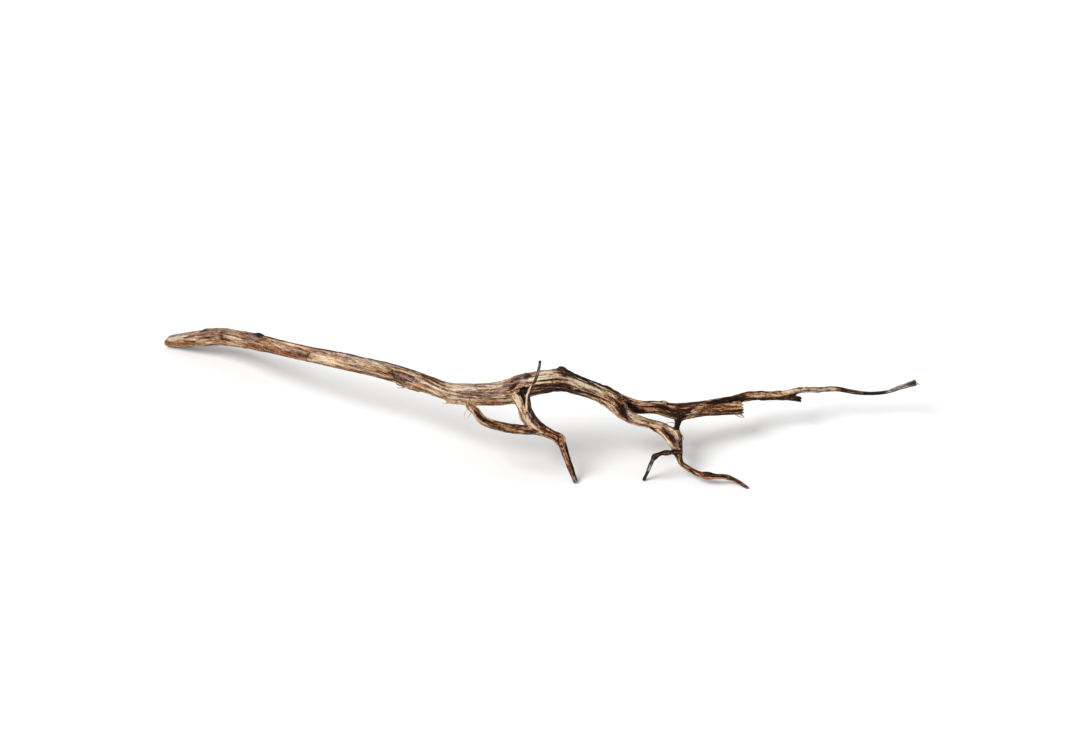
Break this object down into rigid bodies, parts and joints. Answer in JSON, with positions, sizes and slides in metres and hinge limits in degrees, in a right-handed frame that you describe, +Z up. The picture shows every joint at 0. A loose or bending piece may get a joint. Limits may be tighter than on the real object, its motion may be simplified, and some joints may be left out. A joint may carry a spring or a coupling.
{
  "type": "snake wood branch",
  "caption": "Weathered natural branch with an arched trunk, forked legs that stand on the ground, a broken stub and a long thin tail; lies by itself as decor or a climbing perch.",
  "frame": {"origin": "on the floor, under the middle of the box around the branch", "axes": "+X along the branch from the thick cut end to the thin tip, +Y away from the side that the legs reach out on, +Z up from the floor it rests on"},
  "size_m": [0.7432, 0.2453, 0.1344],
  "materials": {
    "weathered_wood": "bare weathered wood, matt, with remnants of red-brown bark and grey sun bleaching"
  },
  "bodies": {
    "root": {"snake_wood": "weathered_wood"}
  },
  "joints": []
}
